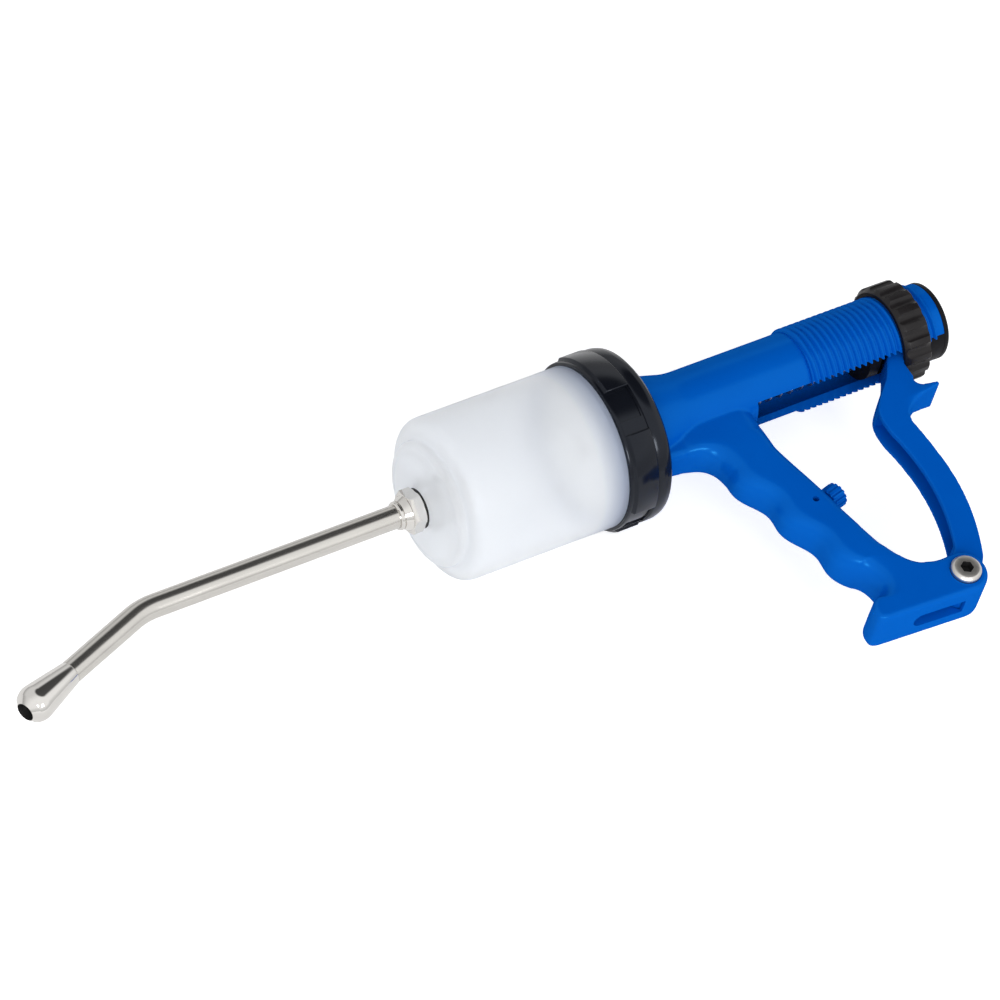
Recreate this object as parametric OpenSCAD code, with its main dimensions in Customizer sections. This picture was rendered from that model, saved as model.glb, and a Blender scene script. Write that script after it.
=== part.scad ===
// Livestock drencher: a lever-worked dosing gun with a measuring cylinder and a bent drench tube.
// It lies on its right side: +X to the tail, +Y to the gun's top, +Z to the gun's left.
// All sizes are in mm. Pieces are drawn about the barrel axis and then set on the table.

/* [Cylinder] */
// Outside diameter of the measuring cylinder
cyl_d = 70; // [66:0.5:74]
// Wall of the measuring cylinder
cyl_wall = 3; // [2.5:0.1:5]
// Length of cylinder that shows ahead of the ring
cyl_len = 72; // [68:0.5:80]
// Radius of the cylinder's front corner
cyl_corner = 6; // [3:0.5:8]
// Step from the cylinder's side in to its raised front face
plateau_step = 8; // [7:0.5:12]
// Height of the raised front face
plateau_h = 4; // [2:0.5:6]
// Rise of the raised front face to its middle
dome_h = 3; // [0:0.2:4]

/* [Ring] */
// Height of the coupling ring's grip pads over the cylinder
pad_h = 2.8; // [2.4:0.1:4]
// Length of the coupling ring
ring_len = 21; // [18:0.5:26]
// Number of grip pads round the ring
pad_count = 4; // [3:1:8]
// Angle that one pad covers
pad_angle = 59; // [30:1:80]

/* [Barrel] */
// Outside diameter of the barrel's thread
barrel_d = 36.4; // [34:0.2:40]
// Wall of the barrel under its thread
barrel_wall = 2.6; // [2:0.1:4]
// Length of barrel that shows behind the dose nut
tail_len = 10.05; // [8:0.05:24]
// Position where the dose thread starts
thread_start = 102; // [98:0.5:106]
// Pitch of the dose thread
thread_pitch = 3; // [2:0.25:4]
// Depth of the dose thread
thread_depth = 1.4; // [0.8:0.1:1.8]
// Width of the lever slot in the barrel's underside
slot_w = 18.4; // [16:0.2:19]
// Position of the slot's front end
slot_start = 75.4; // [75.2:0.2:84]

/* [Handle] */
// Thickness of the foot from side to side
grip_t = 21.6; // [21:0.2:26]
// Thickness of the grip from side to side
grip_w = 19.4; // [19:0.2:21]
// Rounding of the grip's long edges
grip_round = 9.2; // [5:0.2:9.4]
// Rounding of the foot's edges
foot_round = 2.4; // [1:0.2:4]
// Rake of the grip's front, run per unit of drop
front_rake = 0.3355; // [0.25:0.005:0.4]
// Rake of the grip's rear, run per unit of drop
rear_rake = 0.262; // [0.2:0.005:0.35]
// Height of the finger ridges
ridge_h = 1.7; // [0.5:0.1:3]
// Spacing of the finger ridges
ridge_pitch = 24.6; // [22:0.2:28]
// Distance of the lever pivot behind the ring's front
pivot_x = 110; // [104:0.5:116]
// Drop of the lever pivot below the barrel axis
pivot_drop = 121.6; // [116:0.2:126]
// Radius of the foot round the pivot
boss_r = 9.8; // [9:0.1:12]
// Side play of the lever between its two ears
ear_play = 0.8; // [0.4:0.1:2]

/* [Lever] */
// Width of the lever from side to side
lever_w = 12.4; // [10:0.1:12.6]
// Width of the spur that sits in the web of the thumb
spur_w = 16.6; // [13:0.2:20]
// Wall of the lever's channel
lever_wall = 2; // [1.5:0.1:3]
// Rear web of the lever's channel
lever_web = 2.6; // [1.8:0.1:4]
// Reach of the lever's fingertip behind the pivot
tip_back = 42; // [36:0.5:44]
// Radius of the lever's rounded fingertip
tip_r = 4; // [3:0.1:5]

/* [Piston] */
// Diameter of the piston rod
rod_d = 10; // [8:0.1:12]
// Running clearance on the radius
run_gap = 0.05; // [0.02:0.01:0.1]
// Thickness of one piston disc
disc_t = 4; // [3:0.1:6]
// Width of the piston's lip seal
seal_t = 4; // [3:0.1:5]
// Length of the crosshead
cross_len = 14; // [10:0.5:18]

/* [Spring] */
// Wire diameter of the return spring
wire_d = 1.6; // [1:0.1:2]
// Mean radius of the return spring
coil_r = 8.2; // [7.4:0.1:9]
// Turns of the return spring
coil_turns = 20; // [12:1:24]

/* [Dose nut] */
// Wall of the dose nut over the thread
nut_wall = 3.6; // [2.8:0.1:6]
// Thickness of the dose nut
nut_t = 11.2; // [6:0.1:14]
// Number of finger scallops round the dose nut
nut_scallops = 18; // [12:1:20]
// Width of the washer that the lever rests on
washer_w = 1.4; // [1:0.1:2.4]
// Thickness of the washer that the lever rests on
washer_t = 1.2; // [0.8:0.1:2]
// Gap between the resting lever and the washer
rest_gap = 0.5; // [0.4:0.1:2]

/* [Drench tube] */
// Outside diameter of the drench tube
tube_d = 10; // [9.4:0.1:11.6]
// Wall of the drench tube
tube_wall = 0.8; // [0.5:0.1:1.5]
// Wall of the threaded nipple over the tube
nipple_wall = 2; // [1.5:0.1:3]
// Reach of the straight tube to the start of its bend
bend_x = 201.2; // [180:0.2:220]
// Radius of the tube's bend on its centre line
bend_r = 32; // [20:1:40]
// Length from the end of the bend to the nozzle joint
tail_run = 37.2; // [30:0.2:60]
// Width across the tube nut's flats over the nipple
hex_wall = 2.5; // [2:0.1:5]
// Radius of the ball at the nozzle's end
ball_r = 7.8; // [6.6:0.1:9]
// Diameter of the outlet hole
outlet_d = 7.8; // [5.6:0.1:9]

/* [Pivot and stop screw] */
// Diameter of the pivot bolt's head
head_d = 13; // [12:0.1:14]
// Diameter of the pivot bolt's shank
shank_d = 8; // [6:0.1:8.6]
// Wall of the sleeve that the lever turns on
sleeve_wall = 1; // [0.6:0.1:1.5]
// Drop of the stop screw below the barrel axis
stop_drop = 64; // [56:0.5:74]
// Diameter of the stop screw's knob
knob_d = 10.8; // [9:0.2:13]
// Length of the stop screw's knob
knob_len = 6.5; // [5:0.1:9]

/* [Hidden] */
$fn = 96;
cyl_r = cyl_d / 2;
bore_r = cyl_r - cyl_wall;
pad_r = cyl_r + pad_h;
plateau_r = cyl_r - plateau_step;
barrel_r = barrel_d / 2;
plain_r = barrel_r - thread_depth;
bb_r = plain_r - barrel_wall;
neck_r = plain_r + 6;
nut_r = barrel_r + nut_wall;
tube_r = tube_d / 2;
rod_r = rod_d / 2;
half_t = grip_t / 2;
ear_gap = lever_w + ear_play;
sleeve_d = shank_d + 2 * sleeve_wall;
pivot_y = -pivot_drop;
cyl_back = 10.2;
gasket_t = 2;
flange_x = cyl_back + gasket_t;
wall_x = ring_len - 3;
front_x = cyl_len + plateau_h;
seat_x = front_x + dome_h;
piston_back = flange_x - 1.2;
piston_front = 2 * disc_t + seal_t - piston_back;
tip_x = pivot_x + tip_back;
cross_back = tip_x - tip_r - 0.35;
cross_front = cross_back - cross_len;
bush_back = ring_len + 5;
nipple_r = tube_r + nipple_wall;
tube_bore = tube_d - 2 * tube_wall;
nut_af = 2 * nipple_r + hex_wall;
hub_r = boss_r - 1.2;
nut_x = pivot_x + 36.9 + rest_gap;
nut_front = nut_x + washer_t + 0.05;
barrel_end = nut_front + nut_t + tail_len;
thread_end = thread_start + thread_pitch * floor((barrel_end - 4 - thread_start) / thread_pitch);
bend_angle = atan2(44, 117);
ball_back = 20;
rim_angle = acos((outlet_d / 2 + 0.3) / ball_r);
foot_low = pivot_y - boss_r;
toe_x = front_line(pivot_y + 12);
tip_reach = bend_x + bend_r * sin(bend_angle) + (tail_run + ball_back) * cos(bend_angle) + ball_r - 0.15;
row_x = (tip_reach - barrel_end - 2.5) / 2;
row_y = -(pad_r + foot_low) / 2;
row_z = pad_r;
stop_slope = atan(rear_rake);
stop_x = rear_edge(-stop_drop) - 0.4;

// Sets a piece drawn about the barrel axis down on the table.
module on_table() translate([row_x, row_y, row_z]) children();

// Turns a shape drawn about Z so that its axis runs to the tail.
module to_tail() rotate([0, 90, 0]) children();

// A round bar between two stations on the barrel axis.
module bar(r, from, to) translate([from, 0, 0]) to_tail() cylinder(r = r, h = to - from);

// A tube between two stations on the barrel axis.
module pipe(r_out, r_in, from, to) difference() {
    bar(r_out, from, to);
    bar(r_in, from - 0.5, to + 0.5);
}

// A hexagonal bar between two stations on the barrel axis.
module hex_bar(flats, from, to) translate([from, 0, 0]) to_tail()
    cylinder(r = flats / 2 / cos(30), h = to - from, $fn = 6);

// Points of a curve that leaves a for b and arrives at c.
function bend3(a, b, c, n) = [for (i = [0 : n]) let (t = i / n)
    (1 - t) * (1 - t) * a + 2 * t * (1 - t) * b + t * t * c];

// Front edge of the grip, plain and with its finger ridges.
function front_line(y) = 46.8 + front_rake * (-36 - y);
function front_edge(y) = front_line(y) - ridge_h * cos(360 * (y + 44.3) / ridge_pitch)
    + 2 * min(1, max(0, (-98 - y) / 8));

// Rear edge of the grip.
function rear_edge(y) = 73.4 + rear_rake * max(0, -36 - y);

// A point of the foot, from the toe and from the pivot's height.
function toe(dx, dy) = [toe_x + dx, pivot_y + dy];

// Outline of the handle from the ring, round the foot and back up to the slot.
function handle_outline() = concat(
    [[ring_len - 1, -4], [ring_len - 1, -18], [ring_len + 0.3, -18], [ring_len + 0.3, -22.6]],
    bend3([ring_len + 4, -24], [45.6, -23], [47.2, -37], 8),
    [for (y = [-39.5 : -2.5 : pivot_y + 14.5]) [front_edge(y), y]],
    bend3(toe(2.7, 12), toe(5.8, 6.2), toe(-0.8, 4.6), 6),
    bend3(toe(-2.8, 4), toe(-7.6, 1.8), toe(-7.8, -3), 5),
    bend3(toe(-7.7, -5), toe(-7.2, -7), toe(-3.4, -7.4), 3),
    [for (i = [1 : 6]) toe(-3.4, -7.4) + i / 7 * ([pivot_x - 2, foot_low] - toe(-3.4, -7.4))],
    [for (a = [-96 : 11 : 90]) [pivot_x, pivot_y] + boss_r * [cos(a), sin(a)]],
    bend3([pivot_x - 3, pivot_y + boss_r - 0.2], [pivot_x - 16.5, pivot_y + 8.6],
        [rear_edge(pivot_y + 26.6), pivot_y + 26.6], 7),
    [for (y = [pivot_y + 30.6 : 4.5 : -37]) [rear_edge(y), y]],
    bend3([73.4, -33], [72.8, -24], [75, -15], 4),
    [[75, -9], [75, -4], [60, -4], [40, -4]]
);

// Rounded rectangle, centred, with exact corner arcs.
module round_rect(w, h, r) {
    square([w - 2 * r, h], center = true);
    square([w, h - 2 * r], center = true);
    for (i = [-1, 1], j = [-1, 1]) translate([i * (w / 2 - r), j * (h / 2 - r)]) circle(r = r);
}

// A long rounded bar through a point of the grip, raked to run with one of its edges.
module grip_bar(edge_x, rake, side) translate([edge_x, -44.3, 0]) rotate([0, 0, atan(rake)])
    translate([side * 30, 60, 0]) rotate([90, 0, 0]) linear_extrude(pivot_drop + 12.4)
        round_rect(60, grip_w, grip_round);

// A rounded bar that runs to the tail between two heights.
module level_bar(from, length, low, high, width, r) translate([from, (low + high) / 2, 0])
    rotate([90, 0, 90]) linear_extrude(length) round_rect(high - low, width, r);

// Grip and foot: the outline cut from two raked bars, the foot, the ears and the web under the neck.
module handle_solid() intersection() {
    translate([0, 0, -half_t]) linear_extrude(grip_t) polygon(handle_outline());
    union() {
        intersection() {
            grip_bar(front_edge(-44.3), front_rake, 1);
            grip_bar(rear_edge(-44.3), rear_rake, -1);
        }
        level_bar(0, 140, foot_low, foot_low + 22, grip_t, foot_round);
        level_bar(pivot_x - 22, 40, foot_low, foot_low + 28, grip_t, foot_round);
        level_bar(0, 82, -24.2, 0.2, 17, 4);
    }
}

// Barrel with its flange, flared neck, dose thread and plain end, as a turned outline.
module barrel_solid() to_tail() rotate_extrude() polygon(concat(
    [[0, flange_x], [cyl_r - 0.3, flange_x], [cyl_r - 0.3, wall_x - 0.2], [neck_r, wall_x - 0.2],
     [neck_r, ring_len + 0.8]],
    bend3([plain_r + 1, ring_len + 20.5], [plain_r, ring_len + 24], [plain_r, ring_len + 29], 4),
    [for (x = [thread_start : thread_pitch : thread_end - 0.1]) each [
        [plain_r, x], [plain_r, x + 0.24 * thread_pitch],
        [barrel_r, x + 0.43 * thread_pitch], [barrel_r, x + 0.7 * thread_pitch],
        [plain_r, x + 0.93 * thread_pitch]]],
    [[plain_r, thread_end], [plain_r, barrel_end], [0, barrel_end]]
));

// One-piece barrel, grip and foot.
module body() color([0.0, 0.13, 0.45]) on_table() difference() {
    union() {
        barrel_solid();
        handle_solid();
    }
    // rod bush, rod seal and crosshead bore
    bar(8.02, flange_x - 1, bush_back);
    bar(9.02, flange_x - 1, flange_x + 4);
    bar(bb_r, bush_back - 2, barrel_end + 1);
    // lever slot, open at the tail
    translate([slot_start, -24, -slot_w / 2]) cube([140, 24, slot_w]);
    // space between the ears
    translate([pivot_x, pivot_y, -ear_gap / 2]) cylinder(r = hub_r + 0.5, h = ear_gap);
    translate([pivot_x - hub_r - 0.5, pivot_y, -ear_gap / 2]) cube([30, 30, ear_gap]);
    translate([pivot_x, pivot_y - 2, -ear_gap / 2]) cube([30, 30, ear_gap]);
    // drain slot under the foot
    translate([pivot_x - 24.2, foot_low - 10, -3.8]) cube([20.2, 20.4, 7.6]);
    translate([pivot_x - 24.2, foot_low - 10, 0]) rotate([-90, 0, 0]) cylinder(r = 3.8, h = 20.4);
    // pivot bolt holes and the recesses for its head and nut
    translate([pivot_x, pivot_y, -half_t - 1]) cylinder(d = shank_d + 0.04, h = grip_t + 2);
    translate([pivot_x, pivot_y, half_t - 1]) cylinder(d = head_d + 0.6, h = 3);
    translate([pivot_x, pivot_y, -half_t - 2]) cylinder(r = 7.9, h = 4);
    // seat of the stop screw's insert
    at_stop() bar(3.52, -14, 4);
    // small vent in the grip's side
    translate([stop_x - 8.7, -stop_drop - 1.8, 4]) cylinder(d = 2.2, h = half_t);
}

// Translucent measuring cylinder with its closed front and ribbed hub.
module measuring_cylinder() color([0.86, 0.88, 0.9, 0.6]) on_table() difference() {
    union() {
        to_tail() rotate_extrude() polygon(concat(
            [[bore_r, cyl_back], [cyl_r - 0.02, cyl_back], [cyl_r - 0.02, 0.5], [cyl_r, 0]],
            [for (a = [0 : 10 : 90]) [cyl_r - cyl_corner + cyl_corner * cos(a),
                -cyl_len + cyl_corner - cyl_corner * sin(a)]],
            [[plateau_r + 1, -cyl_len], [plateau_r, -cyl_len - 1]],
            [for (a = [0 : 15 : 90]) [plateau_r - 2 + 2 * cos(a), -front_x + 2 - 2 * sin(a)]],
            [[nipple_r + 2.8, -seat_x], [nipple_r + 0.05, -seat_x], [nipple_r + 0.05, -front_x + 11],
             [nipple_r + 4, -front_x + 11],
             [nipple_r + 4.6, -front_x + 5],
             [plateau_r - 3, -front_x + 5], [plateau_r - 1, -cyl_len + 3]],
            [for (a = [90 : -15 : 0]) [bore_r - 3.4 + 3.4 * cos(a), -cyl_len + 6.6 - 3.4 * sin(a)]]
        ));
        for (a = [0 : 60 : 300]) rotate([a, 0, 0]) translate([-front_x + 4, 10.8, -0.8])
            cube([4.5, plateau_r - 15, 1.6]);
    }
    bar(nipple_r + 0.05, -seat_x - 1, -front_x + 12);
}

// Black coupling ring with raised grip pads.
module cylinder_ring() color([0.03, 0.03, 0.04]) on_table() to_tail() {
    rotate([0, 0, 122 - (360 / pad_count - pad_angle) / 2]) rotate_extrude() polygon([
        [cyl_r, 0], [cyl_r + 1, 0], [cyl_r + 1.5, 0.6], [cyl_r + 1.5, 2], [cyl_r + 0.9, 2],
        [cyl_r + 0.9, 12], [cyl_r + 1.4, 12], [cyl_r + 1.4, 12.6], [cyl_r + 2.2, 13.2],
        [cyl_r + 2.2, ring_len - 4], [cyl_r + 1.5, ring_len - 1.6], [cyl_r - 0.4, ring_len],
        [neck_r + 0.6, ring_len], [neck_r + 0.6, wall_x], [cyl_r, wall_x]]);
    for (k = [0 : pad_count - 1]) rotate([0, 0, 122 + k * 360 / pad_count])
        rotate_extrude(angle = pad_angle) polygon([[cyl_r + 0.5, 1.4], [cyl_r + 1.3, 1.4], [pad_r - 0.6, 2.1],
            [pad_r, 2.7], [pad_r, 11.3], [pad_r - 0.6, 11.9], [cyl_r + 1.2, 12.3], [cyl_r + 0.5, 12.3]]);
}

// Flat gasket between the cylinder and the barrel's flange.
module cylinder_gasket() color([0.08, 0.08, 0.08]) on_table()
    pipe(cyl_r - 0.3, bore_r - 0.2, cyl_back, flange_x);

// Flanged bush that guides the piston rod and seats the spring.
module rod_bush() color([0.9, 0.9, 0.86]) on_table() difference() {
    union() {
        bar(8, flange_x + 4.2, bush_back);
        bar(bb_r - 2.8, bush_back - 1.8, bush_back);
    }
    bar(rod_r + run_gap, flange_x, bush_back + 1);
}

// Seal that wipes the piston rod.
module rod_seal() color([0.06, 0.06, 0.06]) on_table()
    pipe(9, rod_r + run_gap, flange_x + 0.3, flange_x + 4);

// Threaded nipple through the cylinder's front wall.
module tube_nipple() color([0.7, 0.7, 0.68]) on_table() difference() {
    union() {
        bar(nipple_r, -seat_x - 5.5, -front_x + 11);
        bar(nipple_r + 3.5, -front_x + 11, -front_x + 13.2);
    }
    bar(tube_bore / 2, -seat_x - 6, -front_x + 14);
    bar(tube_r + 0.02, -seat_x - 6, -front_x + 4);
}

// Black seal under the tube nut.
module tube_seal() color([0.05, 0.05, 0.05]) on_table()
    pipe(nipple_r + 1.6, nipple_r + 0.04, -seat_x - 0.8, -seat_x);

// Hexagon nut with a stepped round collar that clamps the tube.
module tube_nut() color([0.75, 0.74, 0.72]) on_table() difference() {
    union() {
        rotate([17, 0, 0]) intersection() {
            hex_bar(nut_af, -seat_x - 7.8, -seat_x - 0.8);
            translate([-seat_x - 7.8, 0, 0]) to_tail()
                cylinder(r1 = nut_af / 2 - 0.2, r2 = nut_af / 2 + 6.8, h = 7);
            translate([-seat_x - 7.8, 0, 0]) to_tail()
                cylinder(r1 = nut_af / 2 + 6.9, r2 = nut_af / 2 + 0.1, h = 7);
        }
        translate([-seat_x - 9.2, 0, 0]) to_tail() cylinder(r1 = tube_r + 1.2, r2 = tube_r + 2.4, h = 1.6);
        bar(tube_r + 0.9, -seat_x - 9.6, -seat_x - 7);
        translate([-seat_x - 11, 0, 0]) to_tail() cylinder(r1 = tube_r + 0.6, r2 = tube_r + 1.3, h = 0.6);
        bar(tube_r + 1.3, -seat_x - 10.4, -seat_x - 9.6);
    }
    bar(tube_r + 0.02, -seat_x - 12, -seat_x);
    bar(nipple_r + 0.05, -seat_x - 6, -seat_x);
}

// Ring-shaped section of the drench tube.
module tube_section() difference() {
    circle(r = tube_r);
    circle(d = tube_bore);
}

// Moves a shape drawn along Z to a distance beyond the end of the tube's bend.
module past_bend(run) translate([-bend_x, -bend_r, 0]) rotate([0, 0, bend_angle])
    translate([-run, bend_r, 0]) rotate([0, -90, 0]) children();

// Stainless drench tube: long straight, bend and short straight.
module drench_tube() color([0.62, 0.6, 0.56]) on_table() {
    translate([-bend_x, 0, 0]) to_tail() linear_extrude(bend_x - front_x + 4) tube_section();
    translate([-bend_x, -bend_r, 0]) rotate([0, 0, 90]) rotate_extrude(angle = bend_angle)
        translate([bend_r, 0]) tube_section();
    past_bend(0) linear_extrude(tail_run) tube_section();
}

// Polished nozzle on the end of the tube, a cone that runs into a ball with the outlet in it.
module nozzle_tip() color([0.78, 0.77, 0.75]) on_table() past_bend(tail_run) rotate_extrude() polygon(concat(
    [[tube_bore / 2 - 1.6, -8], [tube_bore / 2 - 0.02, -8], [tube_bore / 2 - 0.02, 0], [tube_r - 0.1, 0],
     [tube_r + 0.1, 0.3]],
    [for (i = [0 : 9]) let (a = -8 + (rim_angle + 8) * i / 9)
        [ball_r * cos(a), ball_back + ball_r * sin(a)]],
    [[outlet_d / 2, ball_back + ball_r * sin(rim_angle) - 0.3], [outlet_d / 2, 14], [tube_bore / 2 - 1.6, 12]]
));

// Plug that closes the tail of the barrel.
module end_plug() color([0.04, 0.04, 0.05]) on_table() difference() {
    union() {
        bar(bb_r - 0.03, barrel_end - 7, barrel_end + 0.5);
        bar(plain_r, barrel_end, barrel_end + 1.7);
        translate([barrel_end + 1.7, 0, 0]) to_tail()
            cylinder(r1 = plain_r, r2 = plain_r - 0.8, h = 0.8);
    }
    bar(bb_r - 2.4, barrel_end - 8, barrel_end - 0.5);
}

// Socket-head pivot bolt.
module pivot_bolt() color([0.75, 0.74, 0.72]) on_table() translate([pivot_x, pivot_y, 0]) difference() {
    union() {
        translate([0, 0, -half_t - 3.6]) cylinder(d = shank_d, h = grip_t + 3.6);
        translate([0, 0, half_t - 1]) cylinder(d = head_d, h = 2.4);
        translate([0, 0, half_t + 1.4]) cylinder(d1 = head_d, d2 = head_d - 2.4, h = 1.1);
    }
    translate([0, 0, half_t - 1.2]) cylinder(r = 2.9, h = 5, $fn = 6);
}

// Sleeve that the lever turns on.
module pivot_sleeve() color([0.7, 0.68, 0.62]) on_table()
    translate([pivot_x, pivot_y, -ear_gap / 2 + 0.05]) difference() {
        cylinder(d = sleeve_d, h = ear_gap - 0.1);
        translate([0, 0, -1]) cylinder(d = shank_d + 0.04, h = ear_gap + 2);
    }

// Nut on the far end of the pivot bolt.
module pivot_nut() color([0.7, 0.69, 0.66]) on_table()
    translate([pivot_x, pivot_y, -half_t - 2]) difference() {
        intersection() {
            cylinder(r = 13 / 2 / cos(30), h = 4, $fn = 6);
            cylinder(r1 = 6.4, r2 = 10.4, h = 4);
        }
        translate([0, 0, -1]) cylinder(d = shank_d + 0.04, h = 6);
    }

// Moves a shape drawn along the barrel axis to the stop screw in the grip's rear.
module at_stop() translate([stop_x, -stop_drop, 0]) rotate([0, 0, stop_slope]) children();

// Threaded insert for the stop screw.
module stop_insert() color([0.7, 0.55, 0.25]) on_table() at_stop() pipe(3.5, 2.5 + run_gap, -14, -0.5);

// Front disc of the piston.
module piston_front_disc() color([0.85, 0.85, 0.83]) on_table() difference() {
    bar(bore_r - 0.5, -piston_front, -piston_front + disc_t);
    bar(2.6, -piston_front - 1, -piston_front + disc_t + 1);
    translate([-piston_front - 0.02, 0, 0]) to_tail() cylinder(r1 = 5.24, r2 = 2.6, h = 2.66);
}

// Lip seal of the piston.
module piston_seal() color([0.05, 0.05, 0.05]) on_table() translate([-piston_front + disc_t, 0, 0]) to_tail()
    rotate_extrude() polygon([[14, 0], [bore_r - 1, 0], [bore_r - run_gap, 0.7], [bore_r - 0.6, 1.6],
        [bore_r - 0.6, seal_t - 1.6], [bore_r - run_gap, seal_t - 0.7], [bore_r - 1, seal_t], [14, seal_t]]);

// Rear disc of the piston with a spigot through the seal.
module piston_back_disc() color([0.85, 0.85, 0.83]) on_table() difference() {
    union() {
        bar(13.95, -piston_front + disc_t, -piston_front + disc_t + seal_t);
        bar(bore_r - 0.5, -piston_front + disc_t + seal_t, -piston_front + 2 * disc_t + seal_t - 0.2);
    }
    bar(2.6, -piston_front, flange_x);
    bar(rod_r + 0.02, -piston_front + disc_t + 2, flange_x);
}

// Countersunk screw that holds the piston to the rod.
module piston_screw() color([0.7, 0.69, 0.66]) on_table() difference() {
    union() {
        translate([-piston_front, 0, 0]) to_tail() cylinder(r1 = 5.2, r2 = 2.55, h = 2.65);
        bar(2.55, -piston_front + 2, flange_x + 6);
    }
    hex_bar(3, -piston_front - 1, -piston_front + 2);
}

// Piston rod.
module piston_rod() color([0.66, 0.65, 0.62]) on_table() difference() {
    bar(rod_r, -piston_front + disc_t + 2.05, cross_front + 10);
    bar(2.58, -piston_front, flange_x + 8);
    translate([cross_front + 6, 0, -rod_r - 1]) cylinder(r = 1.52, h = 2 * rod_r + 2);
}

// Crosshead that the lever's fingertip pushes.
module crosshead() color([0.04, 0.04, 0.05]) on_table() difference() {
    bar(bb_r - run_gap, cross_front, cross_back);
    bar(rod_r + 0.02, cross_front - 1, cross_front + 10);
    translate([cross_front + 6, 0, -bb_r - 1]) cylinder(r = 1.52, h = 2 * bb_r + 2);
    // clearance for the leaning finger under its tip
    translate([0, 0, -lever_w / 2 - 0.8]) linear_extrude(lever_w + 1.6)
        polygon([[cross_back + 1, -0.6], [cross_back - 9.8, -15.4], [cross_back + 1, -15.4]]);
}

// Cross pin that fixes the crosshead to the rod.
module crosshead_pin() color([0.7, 0.69, 0.66]) on_table() translate([cross_front + 6, 0, -bb_r + 1])
    cylinder(r = 1.5, h = 2 * bb_r - 2);

// Centre line of the return spring, with straight ends one wire long.
spring_from = bush_back + wire_d / 2 + 0.1;
spring_to = cross_front - wire_d / 2 - 0.1;
spring_n = coil_turns * 8;
function coil_at(i) = [spring_from + (spring_to - spring_from) * i / spring_n,
    coil_r * cos(45 * i), coil_r * sin(45 * i)];
function unit(v) = v / norm(v);
function coil_dir(i) = unit([(spring_to - spring_from) / spring_n / (coil_r * PI / 4),
    -sin(45 * i), cos(45 * i)]);
spring_path = concat([coil_at(0) - wire_d * coil_dir(0)], [for (i = [0 : spring_n]) coil_at(i)],
    [coil_at(spring_n) + wire_d * coil_dir(spring_n)]);
spring_gap = min([for (i = [0 : spring_n - 4], j = [i + 4 : min(spring_n + 2, i + 12)])
    norm(spring_path[i] - spring_path[j])]) - wire_d;
echo(spring_least_gap_mm = spring_gap);

// Helical return spring round the piston rod.
module return_spring() color([0.7, 0.7, 0.7]) on_table() {
    m = len(spring_path);
    rings = [for (i = [0 : m - 1]) let (k = min(spring_n, max(0, i - 1)), t = coil_dir(k),
        e = [0, cos(45 * k), sin(45 * k)], b = cross(t, e))
        each [for (a = [0 : 60 : 300]) spring_path[i] + wire_d / 2 * (cos(a) * unit(e) + sin(a) * unit(b))]];
    sides = [for (i = [0 : m - 2], a = [0 : 5]) let (c = (a + 1) % 6)
        each [[i * 6 + a, (i + 1) * 6 + a, (i + 1) * 6 + c], [i * 6 + a, (i + 1) * 6 + c, i * 6 + c]]];
    polyhedron(points = rings, faces = concat([[for (a = [0 : 5]) a]],
        [[for (a = [5 : -1 : 0]) (m - 1) * 6 + a]], sides));
}

// Rear and front edges of the lever's arm between the spur and the hub, from the pivot's position.
function lever_back(y) = pivot_x + 25.3 - (y < -70 ? 0.0053 : 0.0026) * pow(y + 70, 2);
function lever_front(y) = pivot_x + 14 - (y < -68 ? 0.0056 : 0.0042) * pow(y + 68, 2);

// A point of the lever at a distance behind the pivot and a height on the barrel axis.
function behind(dx, y) = [pivot_x + dx, y];

// Side view of the lever without its spur.
module lever_side() {
    polygon(concat(
        [[tip_x - tip_r + 0.2, -1], [tip_x - 2.4, -4.6], behind(29.6, -14.6), behind(23.6, -22.2),
         behind(18.2, -29.4), behind(14.2, -34.6), behind(12, -40)],
        [for (y = [-46 : -4 : pivot_y + 11.6]) [lever_front(y), y]],
        [behind(-2, pivot_y + hub_r - 0.6), behind(hub_r - 0.2, pivot_y - 1.6)],
        [for (y = [pivot_y + 3.6 : 4 : -45]) [lever_back(y), y]],
        [behind(25, -40), behind(30.5, -33), behind(35.6, -29.5), behind(36.9, -26.4), behind(36.9, -16),
         behind(41.6, -11.8), [tip_x + tip_r - 0.2, -1.4]]
    ));
    translate([tip_x, 0]) circle(r = tip_r);
    translate([pivot_x, pivot_y]) circle(r = hub_r);
}

// Side view of the thumb spur.
module spur_side() polygon(concat(
    bend3(behind(35.6, -22.5), behind(36.6, -31.5), behind(44, -33.6), 6),
    [behind(44, -35)],
    bend3(behind(43.4, -35.2), behind(30, -36.4), behind(24.2, -47), 6),
    [behind(18, -44), behind(20, -30)]
));

// Squeeze lever with its channel, spur and fingertip.
module lever() color([0.0, 0.13, 0.45]) on_table() difference() {
    union() {
        translate([0, 0, -lever_w / 2]) linear_extrude(lever_w) lever_side();
        translate([0, 0, -spur_w / 2]) linear_extrude(spur_w) spur_side();
    }
    translate([0, 0, -lever_w / 2 + lever_wall]) linear_extrude(lever_w - 2 * lever_wall) polygon(concat(
        [for (y = [-40 : -4 : pivot_y + 13.6]) [lever_front(y) - 6, y]],
        [for (y = [pivot_y + 13.6 : 4 : -43]) [lever_back(y) - lever_web, y]],
        [behind(21.5, -39)]
    ));
    translate([pivot_x, pivot_y, -lever_w]) cylinder(d = sleeve_d + 2 * run_gap, h = 2 * lever_w);
}

// Thrust washer between the lever and the dose nut.
module dose_washer() color([0.05, 0.05, 0.06]) on_table()
    pipe(barrel_r + washer_w, barrel_r + run_gap, nut_x, nut_x + washer_t);

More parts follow.
